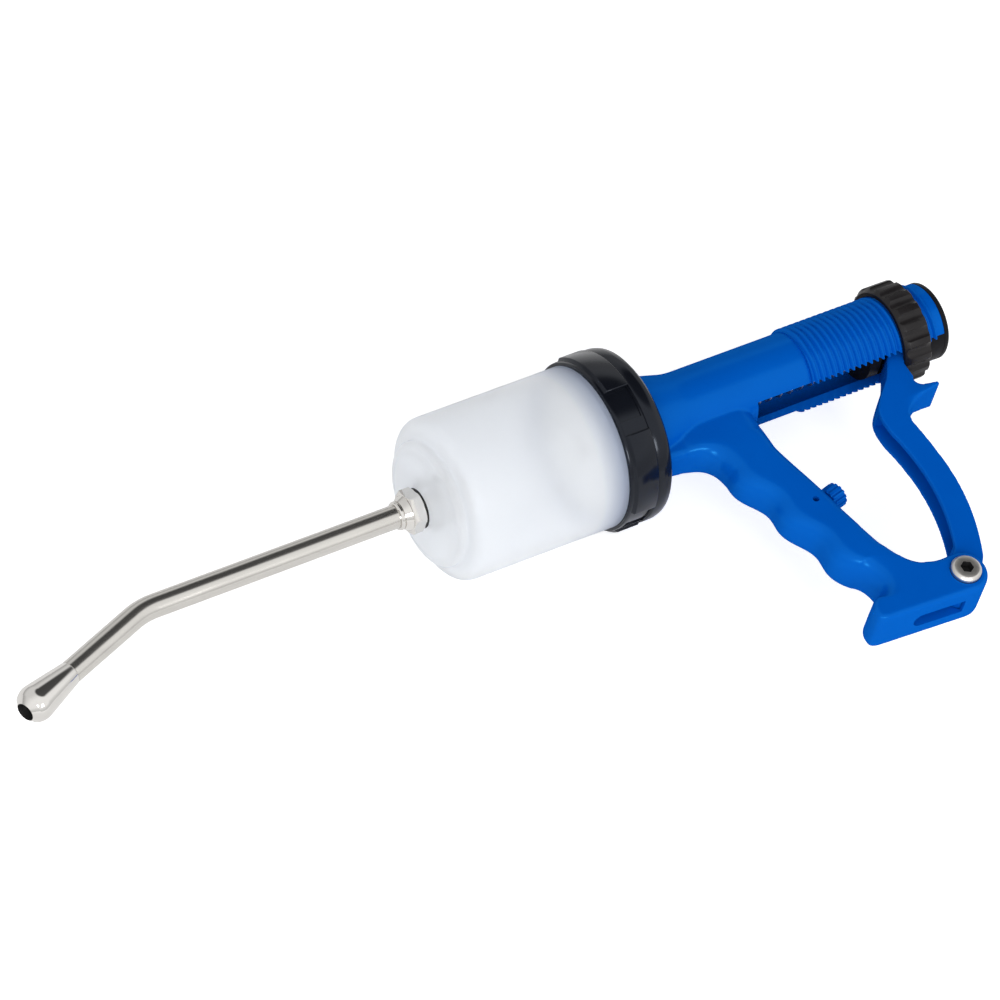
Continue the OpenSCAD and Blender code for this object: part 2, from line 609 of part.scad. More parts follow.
// Scalloped nut that sets the dose.
module dose_nut() color([0.04, 0.04, 0.05]) on_table() difference() {
    translate([nut_front, 0, 0]) to_tail() rotate_extrude() polygon([
        [barrel_r + run_gap, 0], [nut_r - 0.8, 0], [nut_r, 0.8], [nut_r, nut_t - 0.8],
        [nut_r - 0.8, nut_t], [barrel_r + run_gap, nut_t]]);
    for (k = [0 : nut_scallops - 1]) rotate([(k + 0.5) * 360 / nut_scallops, 0, 0])
        translate([nut_x, nut_r + 1.9, 0]) to_tail() cylinder(r = 3.2, h = nut_t + 4, $fn = 32);
}

// Threaded stud of the stop screw.
module stop_stud() color([0.7, 0.69, 0.66]) on_table() at_stop() bar(2.5, -12, 5.2);

// Ridged knob of the stop screw.
module stop_knob() color([0.0, 0.13, 0.45]) on_table() at_stop() difference() {
    union() {
        bar(knob_d / 2, 0.7, knob_len);
        translate([knob_len, 0, 0]) to_tail() cylinder(d1 = knob_d, d2 = knob_d - 1.6, h = 0.8);
    }
    bar(2.5 + run_gap, 0, 5.3);
    for (k = [0 : 13]) rotate([k * 360 / 14, 0, 0]) translate([0, knob_d / 2 + 0.3, 0])
        bar(0.9, 0, knob_len + 2);
}

body();
measuring_cylinder();
cylinder_ring();
cylinder_gasket();
rod_bush();
rod_seal();
tube_nipple();
tube_seal();
tube_nut();
drench_tube();
nozzle_tip();
end_plug();
pivot_bolt();
pivot_sleeve();
pivot_nut();
stop_insert();
piston_front_disc();
piston_seal();
piston_back_disc();
piston_screw();
piston_rod();
crosshead();
crosshead_pin();
return_spring();
lever();
dose_washer();
dose_nut();
stop_stud();
stop_knob();
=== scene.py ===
import math

import bmesh
import bpy
from mathutils import Matrix, Vector


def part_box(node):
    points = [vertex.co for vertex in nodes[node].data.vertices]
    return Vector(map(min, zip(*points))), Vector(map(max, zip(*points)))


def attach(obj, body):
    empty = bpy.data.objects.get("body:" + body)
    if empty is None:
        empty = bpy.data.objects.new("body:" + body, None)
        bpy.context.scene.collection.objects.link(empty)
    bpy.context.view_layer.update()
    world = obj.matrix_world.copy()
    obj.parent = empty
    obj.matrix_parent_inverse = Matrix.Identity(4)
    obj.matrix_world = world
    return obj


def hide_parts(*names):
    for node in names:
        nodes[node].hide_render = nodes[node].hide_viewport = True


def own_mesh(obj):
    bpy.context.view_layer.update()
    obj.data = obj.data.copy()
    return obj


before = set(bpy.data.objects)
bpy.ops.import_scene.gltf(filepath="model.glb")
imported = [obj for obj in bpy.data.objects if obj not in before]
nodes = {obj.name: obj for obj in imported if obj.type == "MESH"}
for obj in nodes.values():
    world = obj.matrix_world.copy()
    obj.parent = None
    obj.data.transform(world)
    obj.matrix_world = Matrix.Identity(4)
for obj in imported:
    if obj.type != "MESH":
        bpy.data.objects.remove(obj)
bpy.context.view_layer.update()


# Body: barrel, grip and foot are one moulding in blue polypropylene, with a thread on the barrel's tail.
# It is drawn in millimetres about the barrel axis, from the ring's front edge, and then set down in metres.
# Remeshing the joined barrel, grip and foot makes the blends; thread, slots and holes come afterwards.
ring_low, ring_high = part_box("cylinder_ring")
axis_origin = Vector((ring_low.x, (ring_low.y + ring_high.y) / 2, (ring_low.z + ring_high.z) / 2))
MM = 0.001
MERGE = 0.004
RING_LEN = 21
BARREL_R, THREAD_R, NECK_R = 16.8, 18.2, 22.8
THREAD_START, THREAD_END, THREAD_PITCH = 102, 165, 3
BARREL_END, BORE_R = 169.9, 14.2
SLOT_START, SLOT_W = 75.4, 18.4


def begin(name, add, **size):
    """Adds a primitive with nothing else selected."""
    bpy.ops.object.select_all(action="DESELECT")
    add(**size)
    piece = bpy.context.object
    piece.name = piece.data.name = name
    bpy.ops.object.transform_apply(location=True, rotation=True, scale=True)
    return piece


def drawn(name, points):
    """Draws an outline in edit mode: a plane is merged to one corner, which is pulled from point to point."""
    piece = begin(name, bpy.ops.mesh.primitive_plane_add, size=1)
    bpy.ops.object.mode_set(mode="EDIT")
    bpy.ops.mesh.merge(type="CENTER")
    bpy.ops.transform.translate(value=points[0])
    for here, there in zip(points, points[1:]):
        bpy.ops.mesh.extrude_vertices_move(TRANSFORM_OT_translate={"value": there - here})
    bpy.ops.mesh.select_all(action="SELECT")
    return piece


def close_up(piece):
    """Merges doubles, turns the faces outwards and leaves edit mode."""
    bpy.ops.mesh.select_all(action="SELECT")
    bpy.ops.mesh.remove_doubles(threshold=MERGE)
    bpy.ops.mesh.normals_make_consistent(inside=False)
    bpy.ops.object.mode_set(mode="OBJECT")
    return piece


def turned(name, profile, steps=128, angle=360, start=0):
    """A round piece: its outline of (station, radius) corners is spun about the barrel axis."""
    y, z = math.cos(math.radians(start)), math.sin(math.radians(start))
    piece = drawn(name, [Vector((x, r * y, r * z)) for x, r in profile])
    bpy.ops.mesh.remove_doubles(threshold=MERGE)
    bpy.ops.mesh.spin(steps=steps, angle=-math.radians(angle), center=(0, 0, 0), axis=(1, 0, 0))
    bpy.ops.mesh.select_all(action="SELECT")
    bpy.ops.mesh.remove_doubles(threshold=MERGE)
    bpy.ops.mesh.fill_holes(sides=0)
    return close_up(piece)


def bend(a, b, c, count):
    """Points of a curve that leaves a for b and arrives at c."""
    a, b, c = Vector(a), Vector(b), Vector(c)
    steps = [i / count for i in range(count + 1)]
    return [tuple((1 - t) ** 2 * a + 2 * t * (1 - t) * b + t * t * c) for t in steps]


neck_profile = (
    [(RING_LEN - 4, 0), (RING_LEN - 4, NECK_R), (RING_LEN + 0.8, NECK_R)]
    + bend((RING_LEN + 20.5, BARREL_R + 1), (RING_LEN + 24, BARREL_R), (RING_LEN + 29, BARREL_R), 8)
    + [(THREAD_START + 1, BARREL_R), (THREAD_START + 1, 0)])
body = turned("body_moulding", neck_profile)

# the grip: one rounded section, pulled from station to station with the finger grooves in its width
GRIP_W, FOOT_W = 19.4, 21.6
FRONT_NOSE, REAR_EDGE = 9.0, 6.0
RIDGE_H, RIDGE_PITCH, RIDGE_Y = 1.7, 24.6, -44.3
GRIP_TOP, GRIP_LOW, GRIP_STEP = -36, -108.5, 1.25
FRONT_AT_TOP, FRONT_RAKE = 46.8, 0.3355
REAR_AT_TOP, REAR_RAKE = 71.9, 0.262
PIVOT = Vector((110, -121.6))
TOE_Y = PIVOT.y + 12


def below(y, start, run):
    """Grows from 0 to 1 as y falls from a start over a run."""
    return min(1, max(0, (start - y) / run))


def front_line(y):
    """The grip's straight front, without its finger grooves."""
    return FRONT_AT_TOP + FRONT_RAKE * (GRIP_TOP - y)


def front_edge(y):
    """The grip's front with its finger grooves."""
    groove = RIDGE_H * math.cos(math.tau * (y - RIDGE_Y) / RIDGE_PITCH)
    return front_line(y) - groove + 2 * below(y, -98, 8)


def rear_edge(y):
    """The grip's rear, drawn in a little towards the foot."""
    return REAR_AT_TOP + REAR_RAKE * max(0, GRIP_TOP - y) - below(y, -66, 16)


def grip_width(y):
    """From side to side, the grip swells softly to the foot's width."""
    lower = below(y, -70, 24)
    return GRIP_W + (FOOT_W - GRIP_W) * lower * lower * (3 - 2 * lower)


def toe(dx, dy):
    """A point of the toe, from where the grip's front line meets the foot."""
    return (front_line(TOE_Y) + dx, PIVOT.y + dy)


stations = bend(toe(-4.6, 3.2), toe(6.2, 6.2), toe(2.7, 12), 9)
stations += [(front_edge(y), y) for y in [GRIP_LOW + GRIP_STEP * i for i in range(57)]]
stations += bend((47.2, -37), (45.6, -23), (25, -24), 16)[1:-2] + [(27, -20), (27, -9)]
front, y = stations[0]
width = rear_edge(y) - front
grip = begin("grip", bpy.ops.mesh.primitive_plane_add, size=1, rotation=(math.pi / 2, 0, 0))
bpy.ops.object.mode_set(mode="EDIT")
bpy.ops.transform.resize(value=(width, 1, grip_width(y)))
for side, rounding in ((-1, FRONT_NOSE), (1, REAR_EDGE)):
    mesh = bmesh.from_edit_mesh(grip.data)
    for vertex in mesh.verts:
        vertex.select_set(vertex.co.x * side > width / 2 - 0.001)
    mesh.select_flush_mode()
    bmesh.update_edit_mesh(grip.data)
    bpy.ops.mesh.bevel(affect="VERTICES", offset=rounding, segments=8)
bpy.ops.mesh.select_all(action="SELECT")
bpy.ops.mesh.delete(type="ONLY_FACE")
bpy.ops.mesh.select_all(action="SELECT")
middle = Vector(((front + rear_edge(y)) / 2, y, 0))
bpy.ops.transform.translate(value=middle)
depth = grip_width(y)
for front, y in stations[1:]:
    next_middle = Vector(((front + rear_edge(y)) / 2, y, 0))
    bpy.ops.mesh.extrude_edges_move(TRANSFORM_OT_translate={"value": next_middle - middle})
    growth = ((rear_edge(y) - front) / width, 1, grip_width(y) / depth)
    bpy.ops.transform.resize(value=growth, center_override=next_middle)
    middle, width, depth = next_middle, rear_edge(y) - front, grip_width(y)
bpy.ops.mesh.select_all(action="SELECT")
bpy.ops.mesh.fill_holes(sides=0)
close_up(grip)

# the web under the neck, and the foot with its toe and the boss round the pivot
BOSS_R, WEB_W = 9.8, 17
REAR_JOIN = -95


def slab(name, outline, low, high):
    """A flat piece: its outline is filled and pulled from one side to the other."""
    piece = drawn(name, [Vector((x, y, low)) for x, y in outline + outline[:1]])
    bpy.ops.mesh.remove_doubles(threshold=MERGE)
    bpy.ops.mesh.edge_face_add()
    bpy.ops.mesh.extrude_region_move(TRANSFORM_OT_translate={"value": (0, 0, high - low)})
    return close_up(piece)


def apply_modifier(piece, kind, **settings):
    """Adds one modifier and applies it."""
    modifier = piece.modifiers.new(kind.lower(), kind)
    for key, value in settings.items():
        setattr(modifier, key, value)
    bpy.ops.object.select_all(action="DESELECT")
    bpy.context.view_layer.objects.active = piece
    bpy.ops.object.modifier_apply(modifier=modifier.name)


def soften(piece, width, segments, angle):
    """Rounds the sharp edges."""
    apply_modifier(piece, "BEVEL", width=width, segments=segments, limit_method="ANGLE",
                   angle_limit=math.radians(angle), use_clamp_overlap=True)


web_outline = ([(RING_LEN + 0.2, -4), (RING_LEN + 0.2, -23)]
               + bend((RING_LEN + 4, -24), (38, -23.6), (50, -30), 8) + [(60, -30), (60, -4)])
web = slab("web", web_outline, -WEB_W / 2, WEB_W / 2)
soften(web, 3.4, 5, 60)
boss_angles = [math.radians(-96 + 6 * i) for i in range(31)]
boss = [tuple(PIVOT + BOSS_R * Vector((math.cos(a), math.sin(a)))) for a in boss_angles]
foot_outline = (
    [(front_line(-100) + 12, -100)]
    + bend(toe(8, 8), toe(3, 5.2), toe(-2.8, 4), 8)[:-1]
    + bend(toe(-2.8, 4), toe(-7.6, 1.8), toe(-7.8, -3), 8)
    + bend(toe(-7.7, -5), toe(-7.2, -7), toe(-3.4, -7.4), 6)
    + boss
    + bend((PIVOT.x - 4, PIVOT.y + BOSS_R - 0.2), (PIVOT.x - 18.8, PIVOT.y + 9),
           (rear_edge(REAR_JOIN) - 0.6, REAR_JOIN), 14)[1:]
    + [(rear_edge(REAR_JOIN) - 8, REAR_JOIN)])
foot = slab("foot", foot_outline, -FOOT_W / 2, FOOT_W / 2)
soften(foot, 2.2, 4, 60)


def combine(piece, operation, *tools):
    """Joins the tools to a piece, or cuts them from it."""
    for tool in tools:
        apply_modifier(piece, "BOOLEAN", operation=operation, object=tool, solver="MANIFOLD")
        bpy.data.objects.remove(tool)


VOXEL = 0.6
combine(body, "UNION", grip, web, foot)
apply_modifier(body, "REMESH", mode="VOXEL", voxel_size=VOXEL)
apply_modifier(body, "SMOOTH", factor=0.5, iterations=5)


def ease(piece, repeat, *spots):
    """Smooths the mesh within a radius of some points of the side view, so that forms run into each other."""
    bpy.ops.object.select_all(action="DESELECT")
    bpy.context.view_layer.objects.active = piece
    bpy.ops.object.mode_set(mode="EDIT")
    mesh = bmesh.from_edit_mesh(piece.data)
    for vertex in mesh.verts:
        vertex.select_set(any((vertex.co.xy - Vector(spot)).length < radius for spot, radius in spots))
    mesh.select_flush_mode()
    bmesh.update_edit_mesh(piece.data)
    bpy.ops.mesh.vertices_smooth(factor=0.5, repeat=repeat)
    bpy.ops.object.mode_set(mode="OBJECT")


ease(body, 40, ((87, -93), 11), ((96, -104), 7), ((43, -26), 9))
ease(body, 140, ((75, -110), 10))

# the thread: one tooth wound along the barrel, trimmed square at both ends
tooth = [(0, BARREL_R), (0.5, BARREL_R + 0.05), (1.15, THREAD_R - 0.25), (1.4, THREAD_R - 0.05),
         (1.8, THREAD_R - 0.05), (2.05, THREAD_R - 0.25), (2.7, BARREL_R + 0.05), (THREAD_PITCH, BARREL_R)]
thread = drawn("thread", [Vector((THREAD_START - 2 * THREAD_PITCH + x, r, 0)) for x, r in tooth])
bpy.ops.object.mode_set(mode="OBJECT")
turns = math.ceil((THREAD_END - THREAD_START) / THREAD_PITCH) + 4
apply_modifier(thread, "SCREW", axis="X", angle=math.tau, screw_offset=THREAD_PITCH, iterations=turns,
               steps=96, render_steps=96, use_merge_vertices=True, merge_threshold=0.01)
bpy.ops.object.mode_set(mode="EDIT")
for station, direction in ((THREAD_START + 0.02, -1), (THREAD_END + 0.02, 1)):
    bpy.ops.mesh.select_all(action="SELECT")
    bpy.ops.mesh.bisect(plane_co=(station, 0, 0), plane_no=(direction, 0, 0), clear_outer=True)
bpy.ops.mesh.select_all(action="SELECT")
bpy.ops.mesh.remove_doubles(threshold=MERGE)
bpy.ops.mesh.fill_holes(sides=0)
close_up(thread)
tail = turned("tail", [(THREAD_END - 1, 0), (THREAD_END - 1, BARREL_R), (BARREL_END - 0.4, BARREL_R),
                       (BARREL_END, BARREL_R - 0.4), (BARREL_END, 0)])
FLANGE_FRONT, FLANGE_BACK, FLANGE_R = 12.2, 17.8, 34.7
flange = turned("flange", [(FLANGE_FRONT, 0), (FLANGE_FRONT, FLANGE_R),
                           (FLANGE_BACK, FLANGE_R), (FLANGE_BACK, 0)])
combine(body, "UNION", thread, tail, flange)


def rod(radius, start, end, steps=96):
    """A plain round bar on the barrel axis, for cutting and joining."""
    return begin("rod", bpy.ops.mesh.primitive_cylinder_add, vertices=steps, radius=radius, depth=end - start,
                 location=((start + end) / 2, 0, 0), rotation=(0, math.pi / 2, 0))


def pin(radius, x, y, low, high, steps=64):
    """A plain round bar from side to side of the gun, for cutting and joining."""
    return begin("pin", bpy.ops.mesh.primitive_cylinder_add, vertices=steps, radius=radius, depth=high - low,
                 location=(x, y, (low + high) / 2))


def block(low, high):
    """A plain box between two corners, for cutting and joining."""
    low, high = Vector(low), Vector(high)
    return begin("block", bpy.ops.mesh.primitive_cube_add, size=1,
                 location=(low + high) / 2, scale=high - low)


# bores for the rod seal, the rod bush and the crosshead, and the slot for the lever's tip
SEAL_SEAT_R, SEAL_SEAT_END = 9.02, 16.2
BUSH_SEAT_R, BUSH_SEAT_END = 8.02, 26
SEATS_START, BORE_START = 11, 24
combine(body, "DIFFERENCE",
        rod(SEAL_SEAT_R, SEATS_START, SEAL_SEAT_END), rod(BUSH_SEAT_R, SEATS_START, BUSH_SEAT_END),
        rod(BORE_R, BORE_START, BARREL_END + 1),
        block((SLOT_START, -24, -SLOT_W / 2), (BARREL_END + 9, 0, SLOT_W / 2)))

# the foot's ears stand either side of the lever's hub; the slot in front of them lets water out
EAR_GAP, HUB_R, HUB_PLAY = 13.2, 8.6, 0.5
FOOT_LOW = PIVOT.y - BOSS_R
DRAIN_R, DRAIN_TOP, DRAIN_OVER = 3.8, 10.4, 10
DRAIN_X = PIVOT.x - 24.2


def turn(piece, degrees, axis="X", centre=(0, 0, 0)):
    """Swings a piece about an axis through a point."""
    centre = Vector(centre)
    swing = Matrix.Rotation(math.radians(degrees), 4, axis)
    place_mesh(piece, Matrix.Translation(centre) @ swing @ Matrix.Translation(-centre))


def move(piece, way):
    """Shifts a piece."""
    place_mesh(piece, Matrix.Translation(Vector(way)))


def place_mesh(piece, matrix):
    """Moves a piece's mesh and leaves its object at the origin."""
    bpy.ops.object.select_all(action="DESELECT")
    piece.select_set(True)
    bpy.context.view_layer.objects.active = piece
    piece.matrix_world = matrix
    bpy.ops.object.transform_apply(location=True, rotation=True, scale=True)


half_gap = EAR_GAP / 2
drain_end = pin(DRAIN_R, 0, 0, -DRAIN_TOP - DRAIN_OVER, 0, 48)
turn(drain_end, 90)
move(drain_end, (DRAIN_X, FOOT_LOW - DRAIN_OVER, 0))
combine(body, "DIFFERENCE",
        pin(HUB_R + HUB_PLAY, PIVOT.x, PIVOT.y, -half_gap, half_gap, 96),
        block((PIVOT.x - HUB_R - HUB_PLAY, PIVOT.y, -half_gap), (PIVOT.x + 25, PIVOT.y + 25, half_gap)),
        block((PIVOT.x, PIVOT.y - 2, -half_gap), (PIVOT.x + 25, PIVOT.y + 3, half_gap)),
        block((DRAIN_X, FOOT_LOW - DRAIN_OVER, -DRAIN_R), (PIVOT.x - 4, FOOT_LOW + DRAIN_TOP, DRAIN_R)),
        drain_end)

# the pivot hole with seats for the bolt's head and nut, the stop screw's seat and a small hole beside it
BOLT_HOLE_R, HEAD_SEAT_R, NUT_SEAT_R = 4.02, 6.8, 7.9
INSERT_R, SIDE_HOLE_R = 3.52, 1.4
half_foot = FOOT_W / 2
stop_place = Vector((80.336, -64, 0))
insert_seat = rod(INSERT_R, -14, 4, 32)
place_mesh(insert_seat, Matrix.Translation(stop_place) @ Matrix.Rotation(math.atan(REAR_RAKE), 4, "Z"))
combine(body, "DIFFERENCE",
        pin(BOLT_HOLE_R, PIVOT.x, PIVOT.y, -20, 20),
        pin(HEAD_SEAT_R, PIVOT.x, PIVOT.y, half_foot - 1, 20, 96),
        pin(NUT_SEAT_R, PIVOT.x, PIVOT.y, -20, -half_foot + 2, 96),
        insert_seat, pin(SIDE_HOLE_R, stop_place.x - 8.7, -65.8, 4, 20, 24))


def set_down(piece, carrier, node, smooth):
    """Brings a finished piece from millimetres on the barrel axis to its place, and hangs it on its body."""
    bpy.ops.object.select_all(action="DESELECT")
    piece.select_set(True)
    bpy.context.view_layer.objects.active = piece
    piece.scale = (MM, MM, MM)
    piece.location = axis_origin
    bpy.ops.object.transform_apply(location=True, rotation=True, scale=True)
    bpy.ops.object.shade_smooth_by_angle(angle=math.radians(smooth))
    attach(piece, carrier)
    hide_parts(node)


set_down(body, "gun", "body", smooth=32)


class Wire:
    """One output in a look's node tree, so that a look can be written as sums."""

    def __init__(self, tree, output):
        self.tree, self.output = tree, output

    def node(self, kind, settings, inputs, output=0):
        """Adds any node: its settings first, then each input's value or link."""
        made = self.tree.nodes.new(kind)
        for key, value in settings.items():
            setattr(made, key, value)
        for key, value in inputs.items():
            if isinstance(value, Wire):
                self.tree.links.new(value.output, made.inputs[key])
            else:
                made.inputs[key].default_value = value
        return Wire(self.tree, made.outputs[output])

    def sum(self, operation, first, second):
        return self.node("ShaderNodeMath", {"operation": operation}, {0: first, 1: second})

    def __add__(self, other):
        return self.sum("ADD", self, other)

    def __rsub__(self, other):
        return self.sum("SUBTRACT", other, self)

    def __mul__(self, other):
        return self.sum("MULTIPLY", self, other)

    __radd__, __rmul__ = __add__, __mul__

    def noise(self, scale, detail):
        return self.node("ShaderNodeTexNoise", {}, {"Vector": self, "Scale": scale, "Detail": detail})

    def scaled(self, sizes):
        return self.node("ShaderNodeMapping", {}, {"Vector": self, "Scale": sizes})

    def mix(self, low, high):
        return self.node("ShaderNodeMix", {"data_type": "RGBA"}, {0: self, 6: low, 7: high}, 2)

    def bump(self, height, strength, distance):
        return self.node("ShaderNodeBump", {}, {"Height": height, "Strength": strength, "Distance": distance})


def look(name, constants):
    """A new material: the wire of its object coordinates, and its shader with the constant inputs set."""
    material = bpy.data.materials.new(name)
    material.use_nodes = True
    tree = material.node_tree
    shader = tree.nodes["Principled BSDF"]
    for key, value in constants.items():
        shader.inputs[key].default_value = value
    return Wire(tree, tree.nodes.new("ShaderNodeTexCoord").outputs["Object"]), shader


def feed(shader, name, wire):
    shader.id_data.links.new(wire.output, shader.inputs[name])


def paint(shader, *pieces):
    """Gives pieces the material that a shader belongs to."""
    material = next(m for m in bpy.data.materials if m.node_tree == shader.id_data)
    for piece in pieces:
        piece.data.materials.clear()
        piece.data.materials.append(material)


place, blue = look("blue_polypropylene", {"Specular IOR Level": 0.0})
feed(blue, "Base Color", place.noise(60, 3).mix((0.0, 0.084, 0.465, 1), (0.0, 0.098, 0.512, 1)))
feed(blue, "Roughness", 0.3 + 0.08 * place.noise(350, 3))
feed(blue, "Normal", place.bump(place.noise(1800, 3), 0.08, 0.0002))
# a thin tinted gloss lies over the plastic, so that its highlights stay blue
sheen = place.node("ShaderNodeBsdfGlossy", {}, {"Color": (0.06, 0.55, 1, 1), "Roughness": 0.22})
plastic = place.node("ShaderNodeMixShader", {}, {0: 0.05, 1: Wire(blue.id_data, blue.outputs[0]), 2: sheen})
blue.id_data.links.new(plastic.output, blue.id_data.nodes["Material Output"].inputs["Surface"])
paint(blue, body)


# Measuring cylinder: moulded in one piece from frosted polypropylene, closed in front by a raised face.
# It is turned as one walled section; six ribs inside stiffen the hub that the tube's nipple passes through.
# The ring clamps its open end against the gasket.
CYL_R, CYL_BORE, CYL_LEN, CYL_CORNER = 35, 32, 72, 6
PLATEAU_R, PLATEAU_H, DOME_H, CYL_BACK = 27, 4, 3, 10.2
FRONT_X = CYL_LEN + PLATEAU_H
SEAT_X = FRONT_X + DOME_H
NIPPLE_R = 7
RIBS, RIB_W = 6, 1.6
SHADE_LEN = 14


def arc(centre, radius, first, last, count):
    """Points of a circle's arc between two angles in degrees."""
    angles = [math.radians(first + (last - first) * i / count) for i in range(count + 1)]
    return [(centre[0] + radius * math.cos(a), centre[1] + radius * math.sin(a)) for a in angles]


cylinder_wall = (
    [(CYL_BACK, CYL_BORE), (CYL_BACK, CYL_R - 0.02), (0.5, CYL_R - 0.02), (0, CYL_R)]
    + arc((CYL_CORNER - CYL_LEN, CYL_R - CYL_CORNER), CYL_CORNER, 90, 180, 10)
    + arc((-CYL_LEN - 1, PLATEAU_R + 1), 1, 0, -90, 4)
    + arc((2 - FRONT_X, PLATEAU_R - 2), 2, 90, 180, 6)
    + bend((-FRONT_X, PLATEAU_R - 3), (-SEAT_X, PLATEAU_R - 6), (-SEAT_X, NIPPLE_R + 2.8), 6)
    + [(-SEAT_X, NIPPLE_R + 0.05), (11 - FRONT_X, NIPPLE_R + 0.05), (11 - FRONT_X, NIPPLE_R + 4),
       (5 - FRONT_X, NIPPLE_R + 4.6), (5 - FRONT_X, PLATEAU_R - 3), (3 - CYL_LEN, PLATEAU_R - 1)]
    + arc((6.6 - CYL_LEN, CYL_BORE - 3.4), 3.4, 180, 90, 6))
cylinder = turned("cylinder_moulding", cylinder_wall + cylinder_wall[:1], 160)
for i in range(RIBS):
    rib = block((4 - FRONT_X, 10.8, -RIB_W / 2), (8.5 - FRONT_X, 22.8, RIB_W / 2))
    turn(rib, 360 / RIBS * i)
    combine(cylinder, "UNION", rib)
set_down(cylinder, "gun", "measuring_cylinder", smooth=40)


def ramp(wire, start, end):
    """Rises from 0 to 1 between two values."""
    return wire.node("ShaderNodeMapRange", {"interpolation_type": "SMOOTHSTEP"},
                     {"Value": wire, "From Min": start, "From Max": end})


# painted light: the frosted wall glows faintly in its own colour, which lifts its darker parts
place, shader = look("frosted_polypropylene", {"Transmission Weight": 0.7, "IOR": 1.25,
                                               "Specular IOR Level": 0.3, "Emission Strength": 0.075})
along = place.node("ShaderNodeSeparateXYZ", {}, {0: place}, 0)
milk = place.noise(35, 3).mix((0.88, 0.9, 0.93, 1), (0.94, 0.955, 0.975, 1))
# painted shade: the wall's colour darkens to blue-grey over its last stretch before the black ring, standing
# in for the ring's shade seen through the frosted wall
milk = ramp(along, axis_origin.x - SHADE_LEN * MM, axis_origin.x).mix(milk, (0.5, 0.55, 0.66, 1))
feed(shader, "Base Color", milk)
feed(shader, "Emission Color", milk)
feed(shader, "Roughness", 0.3 + 0.08 * place.noise(60, 2))
paint(shader, cylinder)

# Coupling ring: a glossy black nylon ring that screws over the cylinder's end.
# It is turned with its lip, band and rear wall, and four grip pads are joined on round it.
# Each pad has a low step at one end.
PADS, PAD_R, PAD_ANGLE, PAD_START = 4, 37.8, 59, 32
STEP_ANGLE, STEP_LEAD = 10, 9
ring_wall = [(0, CYL_R), (0, CYL_R + 1), (0.2, CYL_R + 1.35), (0.6, CYL_R + 1.5), (1.7, CYL_R + 1.5),
             (2, CYL_R + 0.9), (12, CYL_R + 0.9), (12, CYL_R + 1.4), (12.6, CYL_R + 1.4), (12.9, CYL_R + 2),
             (13.3, CYL_R + 2.2), (17, CYL_R + 2.2), (17.5, CYL_R + 2.1), (19.2, CYL_R + 1.6),
             (19.8, CYL_R + 1.2), (RING_LEN, CYL_R - 0.4), (RING_LEN, NECK_R + 0.6),
             (RING_LEN - 3, NECK_R + 0.6), (RING_LEN - 3, CYL_R)]
ring = turned("ring_moulding", ring_wall + ring_wall[:1], 192)
pad_wall = [(1.4, CYL_R + 0.4), (1.4, CYL_R + 1.3), (2.1, PAD_R - 0.6), (2.7, PAD_R), (12.4, PAD_R),
            (12.9, PAD_R - 0.3), (13.2, CYL_R + 2), (13.2, CYL_R + 0.4)]
step_wall = [(1.6, CYL_R + 0.4), (1.6, CYL_R + 1.6), (12.6, CYL_R + 1.6), (12.6, CYL_R + 0.4)]
for i in range(PADS):
    pad_start = PAD_START + 360 / PADS * i
    pad = turned("pad", pad_wall + pad_wall[:1], 40, PAD_ANGLE, pad_start)
    soften(pad, 0.5, 3, 50)
    step = turned("step", step_wall + step_wall[:1], 8, STEP_ANGLE, pad_start - STEP_LEAD)
    combine(ring, "UNION", pad, step)
set_down(ring, "gun", "cylinder_ring", smooth=35)
place, shader = look("gloss_black_nylon", {"Specular IOR Level": 0.32, "Specular Tint": (0.8, 0.87, 1, 1)})
feed(shader, "Base Color", place.noise(120, 3).mix((0.003, 0.004, 0.007, 1), (0.006, 0.007, 0.011, 1)))
feed(shader, "Roughness", 0.12 + 0.08 * place.noise(300, 3))
paint(shader, ring)

# Drench tube: a satin stainless tube, bent once near its end, that carries the dose to the nozzle.
# A ring is pulled along the straight, spun through the bend, pulled along the tail and given its wall.
TUBE_R, TUBE_WALL, TUBE_START = 5, 0.8, 4
BEND_X, BEND_R, TAIL_RUN = 201.2, 32, 37.2
BEND_ANGLE = math.atan2(44, 117)
bend_centre = Vector((-BEND_X, -BEND_R, 0))
straight_step = Vector(((FRONT_X - TUBE_START - BEND_X) / 12, 0, 0))
tube = begin("tube", bpy.ops.mesh.primitive_circle_add, vertices=64, radius=TUBE_R,
             location=(TUBE_START - FRONT_X, 0, 0), rotation=(0, math.pi / 2, 0))
bpy.ops.object.mode_set(mode="EDIT")
bpy.ops.mesh.select_all(action="SELECT")
for i in range(12):
    bpy.ops.mesh.extrude_edges_move(TRANSFORM_OT_translate={"value": straight_step})
bpy.ops.mesh.spin(steps=20, angle=-BEND_ANGLE, center=bend_centre, axis=(0, 0, 1))
tail_step = Matrix.Rotation(BEND_ANGLE, 3, "Z") @ Vector((-TAIL_RUN / 4, 0, 0))
for i in range(4):
    bpy.ops.mesh.extrude_edges_move(TRANSFORM_OT_translate={"value": tail_step})
close_up(tube)
apply_modifier(tube, "SOLIDIFY", thickness=TUBE_WALL, offset=-1)
set_down(tube, "gun", "drench_tube", smooth=40)
place, shader = look("satin_stainless", {"Metallic": 1})
streak = place.scaled((40, 400, 400)).noise(1, 2)
feed(shader, "Base Color", streak.mix((0.6, 0.58, 0.55, 1), (0.7, 0.68, 0.64, 1)))
feed(shader, "Roughness", 0.14 + 0.12 * streak)
paint(shader, tube)
